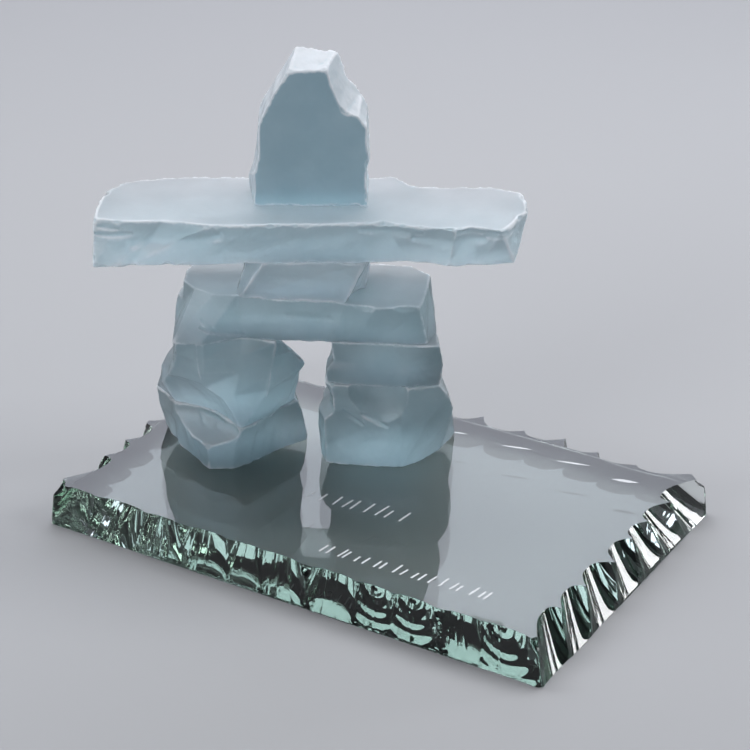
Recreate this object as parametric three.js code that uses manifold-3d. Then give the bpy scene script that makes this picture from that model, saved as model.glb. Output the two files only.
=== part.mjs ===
// Stone man of frosted glass on a clear glass plate: nine pieces, glued face to face.
// Millimetres, +Z up. The origin is the middle of the plate's underside, and +X runs along its long edge.
import * as THREE from 'three';
import { mergeVertices } from 'three/addons/utils/BufferGeometryUtils.js';
import Module from 'manifold-3d';

const wasm = await Module();
wasm.setup();

// Gap left by the film of glue between two faces
const GLUE = 0.3;

// The plate, with edges knapped from above: the side leans in by lean, and the corners are bevelled
const PLATE = { width: 240, depth: 156, thickness: 19, lean: 1.5, land: 2.5, flake: 22, corner: 2 };

// How much deeper the flakes bite, and the angle in degrees that tips them inward: the front edge is steeper
const FRONT_FLAKES = { bite: 2.2, tip: -13 };
const OTHER_FLAKES = { bite: 6.8, tip: -30 };

// A shell is struck off the top of each corner
const CORNER_SHELL = { across: 8, up: 5.5 };

// One larger flake is gone from the back edge, near the left corner: middle as a share of the plate's width
const BACK_FLAKE = { x: -0.37, half: 30, bite: 15, dip: 0.75 };

// How the flakes lie in their row, which stays clear of the corners: half length as a share of the pitch,
// spread of their sizes and places, half height and level as shares of the plate's thickness
const FLAKE_ROW = { clear: 5, half: 0.62, spread: 0.2, stray: 0.16, dip: 3, level: 0.86 };

// The figure is turned on the plate, and its middle is placed in shares of the plate's width and depth
const FIGURE = { x: -0.1217, y: -0.0391, turn: 28.5 };

// Sizes of the stones as they lie: length along the arms, depth front to back, height
const LEFT_FOOT = { length: 71, depth: 55, height: 19 };
const LEFT_LEG = { length: 70, depth: 58 };
const RIGHT_FOOT = { length: 62, depth: 50, height: 39 };
const RIGHT_LEG = { length: 52, depth: 44, height: 19 };
const HIPS = { length: 116, depth: 52, height: 19 };
const TORSO = { length: 60, depth: 40, height: 19 };
const ARMS = { length: 181, depth: 60, height: 19 };
const HEAD = { length: 53, depth: 19, height: 64 };

// Where each stone's left front corner lies, measured from the figure's middle.
// The left foot and leg end at one line.
const LEFT_END = -3;
const LEFT_FOOT_AT = [LEFT_END - LEFT_FOOT.length, -5];
const LEFT_LEG_AT = [LEFT_END - LEFT_LEG.length, -8];
const RIGHT_FOOT_AT = [0, 0];
const RIGHT_LEG_AT = [4, 0];
const HIPS_AT = [-62, -3];
const TORSO_AT = [-34, 0];
const ARMS_AT = [-92, -10];
const HEAD_AT = [-30, 14];

// Both legs carry the hips at one level, whatever the heights of their stones
const RIGHT_FOOT_BASE = GLUE;
const RIGHT_LEG_BASE = RIGHT_FOOT_BASE + RIGHT_FOOT.height + GLUE;
const HIPS_BASE = RIGHT_LEG_BASE + RIGHT_LEG.height + GLUE;
const LEFT_FOOT_BASE = GLUE;
const LEFT_LEG_BASE = LEFT_FOOT_BASE + LEFT_FOOT.height + GLUE;
const LEFT_LEG_HEIGHT = HIPS_BASE - GLUE - LEFT_LEG_BASE;
const TORSO_BASE = HIPS_BASE + HIPS.height + GLUE;
const ARMS_BASE = TORSO_BASE + TORSO.height + GLUE;
const HEAD_BASE = ARMS_BASE + ARMS.height + GLUE;

// Finishes, as the photograph shows them
const frosted = () => new THREE.MeshStandardMaterial({ color: 0xa9bcc4, roughness: 0.75, metalness: 0 });
const clear = () => new THREE.MeshStandardMaterial({ color: 0xbfd6cd, roughness: 0.05, metalness: 0 });

// Closed geometry through rings that share a number of points, with the first and last ring capped
function loft(rings, capOutline) {
  const count = rings[0].length;
  const positions = rings.flat().flatMap((point) => point.toArray());
  const index = [];
  for (let ring = 0; ring + 1 < rings.length; ring += 1) {
    for (let i = 0; i < count; i += 1) {
      const a = ring * count + i;
      const b = ring * count + ((i + 1) % count);
      index.push(a, b, b + count, a, b + count, a + count);
    }
  }
  const last = (rings.length - 1) * count;
  for (const [a, b, c] of THREE.ShapeUtils.triangulateShape(capOutline(rings[0]), [])) index.push(a, c, b);
  for (const [a, b, c] of THREE.ShapeUtils.triangulateShape(capOutline(rings.at(-1)), [])) {
    index.push(last + a, last + b, last + c);
  }
  const geometry = new THREE.BufferGeometry();
  geometry.setAttribute('position', new THREE.Float32BufferAttribute(positions, 3));
  geometry.setIndex(index);
  return geometry;
}

// A three.js geometry as a solid that can be cut
function solid(geometry) {
  const bare = geometry.clone();
  bare.deleteAttribute('normal');
  bare.deleteAttribute('uv');
  const merged = mergeVertices(bare, 1e-4);
  return new wasm.Manifold(new wasm.Mesh({
    numProp: 3,
    vertProperties: new Float32Array(merged.attributes.position.array),
    triVerts: new Uint32Array(merged.index.array),
  }));
}

// A solid back as a three.js geometry
function surface(body) {
  const mesh = body.getMesh();
  const geometry = new THREE.BufferGeometry();
  geometry.setAttribute('position', new THREE.BufferAttribute(mesh.vertProperties, 3));
  geometry.setIndex(new THREE.BufferAttribute(mesh.triVerts, 1));
  geometry.computeVertexNormals();
  return geometry;
}

// A stone as it lies: outlines at rising levels, in shares of its length, depth and height
function lyingStone(size, height, layers) {
  const rings = layers.map(([level, outline]) => outline.map(([x, y]) => (
    new THREE.Vector3(size.length * x, size.depth * y, height * level))));
  return solid(loft(rings, (ring) => ring.map((p) => new THREE.Vector2(p.x, p.y))));
}

// A slab of sheet glass on its edge: the outlines of its flat back and front, in shares of length and height
function standingSlab(size, front, back) {
  const ring = (outline, share) => outline.map(([x, z]) => (
    new THREE.Vector3(size.length * x, size.depth * share, size.height * z)));
  const outline = (points) => points.map((p) => new THREE.Vector2(p.x, p.z));
  return solid(loft([ring(back, 1), ring(front, 0)], outline));
}

// A shell-shaped fracture: an ellipsoid whose middle and radii are shares of the stone's sizes
function scoop(size, height, [x, y, z], [rx, ry, rz]) {
  const ball = new THREE.SphereGeometry(1, 40, 24);
  ball.scale(size.length * rx, size.depth * ry, height * rz);
  ball.translate(size.length * x, size.depth * y, height * z);
  return solid(ball);
}

// A corner broken off square: a block from one point to another, in shares of the stone's sizes
function notch(size, height, [x0, y0, z0], [x1, y1, z1]) {
  const block = new THREE.BoxGeometry(size.length * (x1 - x0), size.depth * (y1 - y0), height * (z1 - z0));
  block.translate(size.length * (x0 + x1) / 2, size.depth * (y0 + y1) / 2, height * (z0 + z1) / 2);
  return solid(block);
}

const cut = (body, tools) => tools.reduce((rest, tool) => rest.subtract(tool), body);

// Even spread of numbers between -1 and 1, the same each time: the fraction of a large multiple of a sine
const SPREAD = { step: 12.9898, multiple: 43758.5453 };
function scatter(n) {
  const large = Math.sin(n * SPREAD.step) * SPREAD.multiple;
  return 2 * (large - Math.floor(large)) - 1;
}

// A flake off the plate's front edge: an ellipsoid, tipped so that it cuts deeper at the top
function flake(along, half, bite, reach, dip, tip) {
  const { thickness, lean } = PLATE;
  const ball = new THREE.SphereGeometry(1, 18, 12);
  ball.rotateX(Math.PI / 2);
  ball.scale(half, thickness / 2, thickness * dip);
  ball.rotateX(THREE.MathUtils.degToRad(tip));
  ball.translate(along, lean + bite - reach - thickness / 2, thickness * FLAKE_ROW.level);
  return ball;
}

// The plate: a slab whose side leans in above a narrow land, with a row of flakes struck off each edge
function plate() {
  const { width, depth, thickness, lean, land, corner } = PLATE;
  const ring = (inset, z) => {
    const x = width / 2 - inset;
    const y = depth / 2 - inset;
    const points = [
      [corner - x, -y], [x - corner, -y], [x, corner - y], [x, y - corner],
      [x - corner, y], [corner - x, y], [-x, y - corner], [-x, corner - y],
    ];
    return points.map(([px, py]) => new THREE.Vector3(px, py, z));
  };
  const outline = (points) => points.map((p) => new THREE.Vector2(p.x, p.y));
  const slab = solid(loft([ring(0, 0), ring(0, land), ring(lean, thickness)], outline));
  const sides = [
    { length: width, reach: depth / 2, turn: 0, row: FRONT_FLAKES },
    { length: depth, reach: width / 2, turn: 90, row: OTHER_FLAKES },
    { length: width, reach: depth / 2, turn: 180, row: OTHER_FLAKES },
    { length: depth, reach: width / 2, turn: 270, row: OTHER_FLAKES },
  ];
  const flakes = sides.flatMap(({ length, reach, turn, row }, side) => {
    const count = Math.round(length / PLATE.flake);
    const run = length - 2 * FLAKE_ROW.clear;
    const pitch = run / count;
    return Array.from({ length: count }, (_, i) => {
      const seed = side * 20 + i;
      const share = 1 + FLAKE_ROW.spread * scatter(seed);
      const along = (i + 0.5 + FLAKE_ROW.stray * scatter(seed + 7)) * pitch - run / 2;
      const half = pitch * FLAKE_ROW.half * share;
      const ball = flake(along, half, row.bite * share, reach, FLAKE_ROW.dip, row.tip);
      return solid(ball.rotateZ(THREE.MathUtils.degToRad(turn)));
    });
  });
  const { x, half, bite, dip } = BACK_FLAKE;
  const deep = flake(-x * width, half, bite, depth / 2, dip, OTHER_FLAKES.tip).rotateZ(Math.PI);
  const shells = [[-1, -1], [1, -1], [1, 1], [-1, 1]].map(([sideX, sideY]) => {
    const ball = new THREE.SphereGeometry(1, 24, 16);
    ball.scale(CORNER_SHELL.across, CORNER_SHELL.across, CORNER_SHELL.up);
    return solid(ball.translate((sideX * width) / 2, (sideY * depth) / 2, thickness));
  });
  return cut(slab, [...flakes, solid(deep), ...shells]);
}

// One fracture hollowed the left leg's lower front and ran on into the foot, where it is flatter by a factor
const LEG_HOLLOW = { middle: [-0.013, -0.127, -0.048], radii: [0.636, 0.662, 0.798], inFoot: 0.3 };
const legHollow = (factor) => {
  const [rx, ry, rz] = LEG_HOLLOW.radii;
  return scoop(LEFT_LEG, LEFT_LEG_HEIGHT, LEG_HOLLOW.middle, [rx, ry, rz * factor]);
};

function leftFoot() {
  const body = lyingStone(LEFT_FOOT, LEFT_FOOT.height, [
    [0, [[0.11, 0.93], [0.07, 0.71], [0.18, 0.41], [0.33, 0.14], [0.40, 0.02], [0.54, 0.03], [0.64, 0.11],
      [0.81, 0.37], [0.97, 0.53], [0.94, 0.85], [0.55, 1]]],
    [0.6, [[0.11, 0.96], [0.02, 0.76], [0.18, 0.42], [0.31, 0.15], [0.39, 0.03], [0.56, 0.04], [0.66, 0.14],
      [0.82, 0.40], [0.95, 0.55], [0.89, 0.85], [0.55, 1]]],
    [1, [[0.11, 0.96], [0.01, 0.78], [0.18, 0.44], [0.29, 0.18], [0.39, 0.06], [0.61, 0.06], [0.71, 0.22],
      [0.84, 0.48], [0.91, 0.56], [0.86, 0.84], [0.55, 1]]],
  ]);
  const toFoot = [
    LEFT_LEG_AT[0] - LEFT_FOOT_AT[0],
    LEFT_LEG_AT[1] - LEFT_FOOT_AT[1],
    LEFT_LEG_BASE - LEFT_FOOT_BASE,
  ];
  return cut(body, [legHollow(LEG_HOLLOW.inFoot).translate(toFoot)]);
}

// The leg flares over the foot's left end, and its hollow leaves a point at its lower front
function leftLeg() {
  const body = lyingStone(LEFT_LEG, LEFT_LEG_HEIGHT, [
    [0, [[0.16, 0.93], [0, 0.77], [0.19, 0.45], [0.36, 0.19], [0.60, 0.11], [0.73, 0.28], [0.84, 0.50],
      [0.89, 0.57], [0.87, 0.86], [0.50, 1]]],
    [0.36, [[0.16, 0.93], [0.05, 0.64], [0.10, 0.41], [0.33, 0.28], [0.55, 0.17], [0.76, 0.26], [0.90, 0.45],
      [0.92, 0.53], [0.92, 0.83], [0.50, 1]]],
    [0.62, [[0.19, 0.91], [0.13, 0.62], [0.17, 0.31], [0.36, 0.19], [0.58, 0.20], [0.79, 0.24], [0.97, 0.38],
      [0.94, 0.48], [0.84, 0.66], [0.50, 0.98]]],
    [0.80, [[0.22, 0.90], [0.15, 0.59], [0.19, 0.24], [0.37, 0.16], [0.59, 0.22], [0.80, 0.23], [0.90, 0.33],
      [0.81, 0.45], [0.75, 0.66], [0.50, 0.97]]],
    [1, [[0.25, 0.88], [0.16, 0.59], [0.20, 0.17], [0.37, 0.14], [0.60, 0.26], [0.82, 0.22], [0.73, 0.36],
      [0.69, 0.48], [0.64, 0.76], [0.50, 0.93]]],
  ]);
  return cut(body, [legHollow(1)]);
}

function rightFoot() {
  const body = lyingStone(RIGHT_FOOT, RIGHT_FOOT.height, [
    [0, [[0.08, 0.84], [0.03, 0.22], [0.08, 0.08], [0.42, 0.03], [0.60, 0.02], [0.69, 0.10], [0.87, 0.37],
      [0.97, 0.67], [0.90, 0.88], [0.48, 0.98]]],
    [0.54, [[0.05, 0.84], [0.01, 0.29], [0.06, 0.10], [0.42, 0.06], [0.60, 0.03], [0.77, 0.08], [0.95, 0.24],
      [0.93, 0.54], [0.87, 0.80], [0.48, 0.98]]],
    [0.64, [[0.11, 0.82], [0.10, 0.28], [0.13, 0.10], [0.42, 0.06], [0.60, 0.03], [0.81, 0.08], [0.96, 0.22],
      [0.90, 0.54], [0.83, 0.80], [0.48, 0.96]]],
    [0.85, [[0.13, 0.80], [0.09, 0.20], [0.13, 0.06], [0.44, 0.04], [0.61, 0.02], [0.84, 0.06], [0.93, 0.12],
      [0.86, 0.54], [0.79, 0.80], [0.48, 0.94]]],
    [1, [[0.13, 0.76], [0.07, 0.12], [0.11, 0.05], [0.44, 0.04], [0.63, 0.02], [0.81, 0.05], [0.86, 0.09],
      [0.83, 0.54], [0.74, 0.78], [0.48, 0.90]]],
  ]);
  return cut(body, [scoop(RIGHT_FOOT, RIGHT_FOOT.height, [0.43, -0.03, 0.92], [0.23, 0.16, 0.44])]);
}

function rightLeg() {
  return lyingStone(RIGHT_LEG, RIGHT_LEG.height, [
    [0, [[0.06, 0.86], [0.01, 0.23], [0.01, 0.10], [0.25, 0.05], [0.46, 0.04], [0.67, 0.01], [0.95, 0.11],
      [0.93, 0.34], [0.87, 0.73], [0.75, 0.93], [0.42, 1]]],
    [0.32, [[0.06, 0.86], [0.01, 0.25], [0.02, 0.11], [0.25, 0.07], [0.46, 0.06], [0.69, 0.03], [0.97, 0.11],
      [0.95, 0.36], [0.87, 0.73], [0.75, 0.93], [0.42, 1]]],
    [0.50, [[0.10, 0.86], [0.08, 0.27], [0.08, 0.14], [0.27, 0.09], [0.46, 0.07], [0.69, 0.05], [0.98, 0.11],
      [0.94, 0.36], [0.87, 0.73], [0.75, 0.93], [0.42, 1]]],
    [1, [[0.10, 0.86], [0.06, 0.23], [0.06, 0.12], [0.27, 0.10], [0.46, 0.09], [0.69, 0.08], [0.95, 0.08],
      [0.92, 0.34], [0.86, 0.68], [0.73, 0.91], [0.42, 0.98]]],
  ]);
}

// The hips' upper left corner is broken off, between these two places
const HIP_BREAK = { from: [-0.05, -0.1, 0.6], to: [0.04, 1.1, 1.1] };
function hips() {
  const body = lyingStone(HIPS, HIPS.height, [
    [0, [[0.03, 0.87], [0, 0.48], [0.02, 0.06], [0.12, 0.02], [0.27, 0.19], [0.40, 0.15], [0.60, 0.15],
      [0.64, 0.16], [0.78, 0.15], [0.95, 0.15], [0.98, 0.35], [0.97, 0.63], [0.90, 0.90], [0.49, 0.98]]],
    [1, [[0.07, 0.87], [0.02, 0.58], [0.09, 0.35], [0.16, 0.24], [0.25, 0.24], [0.41, 0.17], [0.60, 0.14],
      [0.65, 0.10], [0.77, 0.04], [0.92, 0.07], [0.95, 0.48], [0.95, 0.71], [0.88, 0.87], [0.49, 0.94]]],
  ]);
  return cut(body, [
    notch(HIPS, HIPS.height, HIP_BREAK.from, HIP_BREAK.to),
    scoop(HIPS, HIPS.height, [0.88, 0.03, 1], [0.06, 0.06, 0.24]),
    scoop(HIPS, HIPS.height, [0.70, 0.04, 1], [0.06, 0.05, 0.16]),
  ]);
}

function torso() {
  return lyingStone(TORSO, TORSO.height, [
    [0, [[0.01, 0.26], [0.04, 0.14], [0.79, 0.07], [0.82, 0.27], [0.87, 0.40], [0.92, 0.45], [0.93, 0.90],
      [0.27, 1], [0.02, 0.80]]],
    [1, [[0.11, 0.20], [0.23, 0.02], [0.93, 0.04], [0.96, 0.15], [0.98, 0.30], [0.98, 0.45], [0.97, 0.88],
      [0.30, 0.95], [0.07, 0.75]]],
  ]);
}

function arms() {
  return lyingStone(ARMS, ARMS.height, [
    [0, [[0.01, 0], [0.06, 0.02], [0.09, 0.06], [0.23, 0.08], [0.32, 0.13], [0.58, 0.17], [0.73, 0.23],
      [0.77, 0.22], [0.82, 0.15], [0.89, 0.19], [0.97, 0.23], [0.98, 0.45], [0.97, 0.68], [0.90, 0.78],
      [0.74, 0.80], [0.67, 0.88], [0.60, 0.90], [0.16, 0.86], [0.05, 0.76], [0.01, 0.58], [0, 0.30]]],
    [1, [[0.01, 0.14], [0.07, 0.10], [0.17, 0.13], [0.28, 0.05], [0.38, 0.07], [0.57, 0.12], [0.67, 0.15],
      [0.72, 0.11], [0.84, 0.06], [0.87, 0.12], [0.94, 0.06], [1, 0.41], [0.99, 0.74], [0.92, 0.84],
      [0.75, 0.82], [0.68, 1], [0.62, 1], [0.17, 0.92], [0.05, 0.82], [0.01, 0.62], [0.01, 0.34]]],
  ]);
}

function head() {
  return standingSlab(
    HEAD,
    [[0.10, 0], [0.99, 0], [0.97, 0.23], [1, 0.33], [0.98, 0.56], [0.92, 0.63], [0.82, 0.66], [0.77, 0.71],
      [0.71, 0.84], [0.67, 0.95], [0.57, 0.93], [0.38, 0.93], [0.25, 0.75], [0.14, 0.56], [0.14, 0.36],
      [0.10, 0.23]],
    [[0.02, 0], [0.98, 0], [0.97, 0.23], [0.98, 0.40], [0.97, 0.61], [0.92, 0.68], [0.87, 0.74], [0.82, 0.80],
      [0.77, 0.89], [0.74, 0.98], [0.57, 0.98], [0.42, 1], [0.20, 0.71], [0.12, 0.58], [0.07, 0.22],
      [0.02, 0.11]],
  );
}

function piece(name, body, material, position = [0, 0, 0]) {
  const mesh = new THREE.Mesh(surface(body), material);
  mesh.name = name;
  mesh.position.set(...position);
  return mesh;
}

const figure = new THREE.Group();
figure.position.set(FIGURE.x * PLATE.width, FIGURE.y * PLATE.depth, PLATE.thickness);
figure.rotation.z = THREE.MathUtils.degToRad(FIGURE.turn);
figure.add(
  piece('left_foot_stone', leftFoot(), frosted(), [...LEFT_FOOT_AT, LEFT_FOOT_BASE]),
  piece('left_leg_stone', leftLeg(), frosted(), [...LEFT_LEG_AT, LEFT_LEG_BASE]),
  piece('right_foot_stone', rightFoot(), frosted(), [...RIGHT_FOOT_AT, RIGHT_FOOT_BASE]),
  piece('right_leg_stone', rightLeg(), frosted(), [...RIGHT_LEG_AT, RIGHT_LEG_BASE]),
  piece('hip_stone', hips(), frosted(), [...HIPS_AT, HIPS_BASE]),
  piece('torso_stone', torso(), frosted(), [...TORSO_AT, TORSO_BASE]),
  piece('arms_stone', arms(), frosted(), [...ARMS_AT, ARMS_BASE]),
  piece('head_stone', head(), frosted(), [...HEAD_AT, HEAD_BASE]),
);

const sculpture = new THREE.Group();
sculpture.add(piece('base_plate', plate(), clear()), figure);

export default sculpture;
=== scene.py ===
import logging
import math
from dataclasses import dataclass
from enum import Enum

import bmesh
import bpy
import numpy as np
from mathutils import Matrix, Vector


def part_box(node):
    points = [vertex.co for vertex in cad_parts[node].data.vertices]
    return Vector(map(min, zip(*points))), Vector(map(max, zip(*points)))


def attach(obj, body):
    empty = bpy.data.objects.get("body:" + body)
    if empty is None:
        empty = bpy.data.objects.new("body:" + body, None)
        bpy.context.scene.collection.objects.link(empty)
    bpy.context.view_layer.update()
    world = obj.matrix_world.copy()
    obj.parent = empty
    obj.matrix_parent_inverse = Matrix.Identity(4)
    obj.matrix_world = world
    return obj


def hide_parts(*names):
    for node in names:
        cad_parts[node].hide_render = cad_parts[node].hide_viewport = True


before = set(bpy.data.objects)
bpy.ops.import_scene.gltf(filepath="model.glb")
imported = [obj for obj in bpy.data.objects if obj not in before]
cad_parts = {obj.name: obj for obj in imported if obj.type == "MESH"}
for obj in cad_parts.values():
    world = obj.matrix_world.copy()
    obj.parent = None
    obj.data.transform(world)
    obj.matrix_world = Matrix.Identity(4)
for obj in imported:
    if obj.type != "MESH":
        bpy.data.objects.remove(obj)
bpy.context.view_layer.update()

BODY = "root"
MM = 0.001

log = logging.getLogger("inukshuk")

Array = np.ndarray


def smoothstep(low: float, high: float, values: Array) -> Array:
    """Rise from 0 at low to 1 at high with level ends: 3t^2 - 2t^3 of the clamped share t.

    Args:
        low: value at which the rise starts.
        high: value at which it ends.
        values: numbers to map.

    Returns:
        Numbers between 0 and 1, one for each value.
    """
    share = np.clip((values - low) / (high - low), 0.0, 1.0)
    return share * share * (3.0 - 2.0 * share)


class Slot(Enum):
    """Material slots of the part's record."""

    CLEAR = "clear_glass"
    FROSTED = "frosted_glass"


class SheetAxis(Enum):
    """The figure's own axis that the flat faces of a stone's sheet look along."""

    FRONT = 1
    UP = 2


@dataclass(frozen=True)
class Swell:
    """Smooth unevenness: a sum of plane waves that run in seeded directions."""

    length: float
    seed: int
    waves: int = 16

    def at(self, points: Array) -> Array:
        """Give the unevenness at points.

        Each wave is the sine of a point's distance along its direction times 2 pi over its own length, which
        lies between 0.6 and 1.6 of the named length, plus a phase. The sum is divided by the root of half the
        number of waves, so that it mostly lies between -2 and 2.

        Args:
            points: positions, one in each row.

        Returns:
            One number for each point.
        """
        rng = np.random.default_rng(self.seed)
        direction = rng.normal(size=(self.waves, 3))
        direction /= np.linalg.norm(direction, axis=1, keepdims=True)
        pitch = 2.0 * math.pi / (self.length * rng.uniform(0.6, 1.6, self.waves))
        phase = rng.uniform(0.0, 2.0 * math.pi, self.waves)
        return np.sin(points @ (direction * pitch[:, None]).T + phase).sum(axis=1) / math.sqrt(self.waves / 2)


@dataclass(frozen=True)
class Strike:
    """A blow that split the glass: ripples spread from it over the broken faces.

    The place is in shares of the stone's box: across, from front to back, and up.
    """

    place: tuple[float, float, float]
    spacing: float
    depth: float


@dataclass(frozen=True)
class Scar:
    """A groove left where a fracture ran out over a stone's front.

    Its ends are shares of the stone's length and height, and a depth below 0 makes it a ridge.
    """

    start: tuple[float, float]
    end: tuple[float, float]
    width: float
    depth: float


@dataclass(frozen=True)
class Chips:
    """Small shells knocked off a stone's edges."""

    count: int
    radius: float
    depth: float


@dataclass
class Skin:
    """The points of a fine closed mesh, with its edges, as whole arrays."""

    points: Array
    edges: Array

    @classmethod
    def of(cls, mesh: bpy.types.Mesh) -> "Skin":
        """Read a mesh into arrays."""
        points = np.empty(len(mesh.vertices) * 3)
        mesh.vertices.foreach_get("co", points)
        edges = np.empty(len(mesh.edges) * 2, dtype=np.int64)
        mesh.edges.foreach_get("vertices", edges)
        return cls(points.reshape(-1, 3), edges.reshape(-1, 2))

    def around(self, values: Array) -> Array:
        """Give each point the mean of what its neighbours hold.

        Args:
            values: one row for each point.

        Returns:
            Rows of means, the sums over both ends of each edge divided by the number of edges.
        """
        first, second = self.edges.T
        count = len(self.points)
        ends = np.concatenate([first, second])
        others = np.concatenate([second, first])
        share = np.bincount(ends, minlength=count)
        columns = [np.bincount(ends, values[others, i], count) / share for i in range(values.shape[1])]
        return np.stack(columns, axis=1)

    def edge_mask(self, normals: Array, reach: float, rounds: int) -> Array:
        """Tell where the surface turns over an edge.

        A point's height over the mean of its neighbours, along its normal, is spread over its neighbourhood and
        divided by reach, so that 1 is a sharp outer edge, 0 is flat and less than 0 is a hollow.

        Args:
            normals: unit normals of the points.
            reach: height that counts as a sharp edge.
            rounds: how many times the heights are spread.

        Returns:
            One number from -1 to 1 for each point.
        """
        height = ((self.points - self.around(self.points)) * normals).sum(axis=1, keepdims=True)
        for _ in range(rounds):
            height = 0.5 * (height + self.around(height))
        return np.clip(height[:, 0] / reach, -1.0, 1.0)


class Signal:
    """A value that varies over a surface. Arithmetic on it adds the Math nodes that work it out."""

    def __init__(self, graph: "Graph", socket: bpy.types.NodeSocket) -> None:
        """Wrap an output socket of a graph."""
        self.graph = graph
        self.socket = socket

    def _math(self, operation: str, first: "Signal | float", second: "Signal | float") -> "Signal":
        """Add one Math node with two operands."""
        return self.graph.add("ShaderNodeMath", {"operation": operation}, {0: first, 1: second})

    def __add__(self, other: "Signal | float") -> "Signal":
        """Sum of two values."""
        return self._math("ADD", self, other)

    def __radd__(self, other: float) -> "Signal":
        """Sum with a plain number on the left."""
        return self._math("ADD", other, self)

    def __sub__(self, other: "Signal | float") -> "Signal":
        """Difference of two values."""
        return self._math("SUBTRACT", self, other)

    def __rsub__(self, other: float) -> "Signal":
        """Difference with a plain number on the left."""
        return self._math("SUBTRACT", other, self)

    def __mul__(self, other: "Signal | float") -> "Signal":
        """Product of two values."""
        return self._math("MULTIPLY", self, other)

    def __rmul__(self, other: float) -> "Signal":
        """Product with a plain number on the left."""
        return self._math("MULTIPLY", other, self)

    def between(self, low: float, high: float) -> "Signal":
        """Smooth mask that is 0 below low and 1 above high."""
        sockets = {"Value": self, "From Min": low, "From Max": high}
        return self.graph.add("ShaderNodeMapRange", {"interpolation_type": "SMOOTHSTEP"}, sockets)


class Graph:
    """One material's nodes, and the one way in which they are added."""

    def __init__(self, name: str) -> None:
        """Start an empty material of that name."""
        self.material = bpy.data.materials.new(name)
        self.material.use_nodes = True
        self.tree = self.material.node_tree
        self.tree.nodes.clear()

    def add(self, kind: str, settings: dict, sockets: dict, output: str | int = 0) -> Signal:
        """Add a node, set it up and link it.

        Args:
            kind: Blender's name for the node's type.
            settings: the node's own properties, set before its sockets.
            sockets: input name or number to a Signal, a number or a colour.
            output: name or number of the output that is handed back.

        Returns:
            The node's output as a Signal.
        """
        node = self.tree.nodes.new(kind)
        for name, value in settings.items():
            setattr(node, name, value)
        for name, value in sockets.items():
            if isinstance(value, Signal):
                self.tree.links.new(value.socket, node.inputs[name])
            else:
                node.inputs[name].default_value = value
        return Signal(self, node.outputs[output] if node.outputs else None)

    def place(self) -> Signal:
        """Give the point on the object, in the object's own frame."""
        return self.add("ShaderNodeTexCoord", {}, {}, "Object")

    def noise(self, size: float, detail: float, stretch: tuple[float, float, float] = (1.0, 1.0, 1.0)) -> Signal:
        """Give cloudy noise between 0 and 1.

        Args:
            size: size of a cloud in metres.
            detail: how many finer layers are laid over it.
            stretch: how much closer the clouds lie along X, Y and Z.

        Returns:
            The noise as a Signal.
        """
        scale = {"Vector": self.place(), "Scale": stretch}
        mapped = self.add("ShaderNodeMapping", {"vector_type": "POINT"}, scale)
        return self.add("ShaderNodeTexNoise", {}, {"Vector": mapped, "Scale": 1.0 / size, "Detail": detail})

    def attribute(self, name: str) -> Signal:
        """Give a number that the mesh holds for each of its points."""
        return self.add("ShaderNodeAttribute", {"attribute_name": name}, {}, "Fac")

    def blend(self, factor: Signal, low: "Signal | tuple", high: "Signal | tuple") -> Signal:
        """Mix two colours: low where factor is 0, high where it is 1."""
        colours = {"Factor": factor, 6: low, 7: high}
        return self.add("ShaderNodeMix", {"data_type": "RGBA"}, colours, 2)

    def finish(self, surface: Signal, volume: Signal | None = None) -> bpy.types.Material:
        """Link the shaders to the material's output and hand the material back."""
        sockets = {"Surface": surface}
        if volume is not None:
            sockets["Volume"] = volume
        self.add("ShaderNodeOutputMaterial", {}, sockets)
        return self.material


def rgba(colour: tuple[float, float, float]) -> tuple[float, float, float, float]:
    """Give a colour its alpha of 1."""
    return (*colour, 1.0)


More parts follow.
